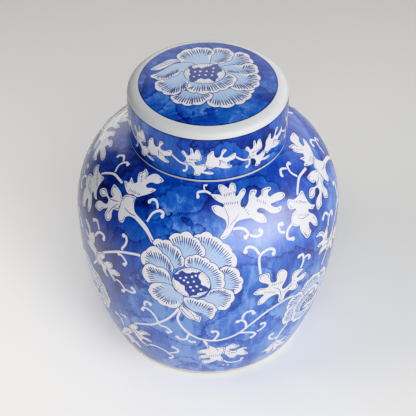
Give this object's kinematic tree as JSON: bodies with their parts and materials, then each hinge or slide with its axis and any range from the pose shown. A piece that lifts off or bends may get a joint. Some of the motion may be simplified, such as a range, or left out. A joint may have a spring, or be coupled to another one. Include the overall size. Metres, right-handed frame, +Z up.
{
  "type": "ginger jar",
  "caption": "Round-shouldered porcelain jar with a short neck, a foot ring and a lift-off cap lid, painted in cobalt blue and white.",
  "frame": {"origin": "centre of the foot ring's resting face", "axes": "+Z up along the jar's axis of revolution; the painted front faces -Y"},
  "size_m": [0.2092, 0.2092, 0.24],
  "materials": {
    "jar_glaze": "glossy clear glaze over cobalt blue and white painting",
    "lid_glaze": "glossy clear glaze over cobalt blue and white painting"
  },
  "bodies": {
    "jar": {"jar_body": "jar_glaze"},
    "lid": {"lid": "lid_glaze"}
  },
  "joints": [
    {"name": "lid_lift", "type": "slide", "parent": "jar", "child": "lid", "axis": [0, 0, 1], "range_m": [0, 0.15]}
  ]
}
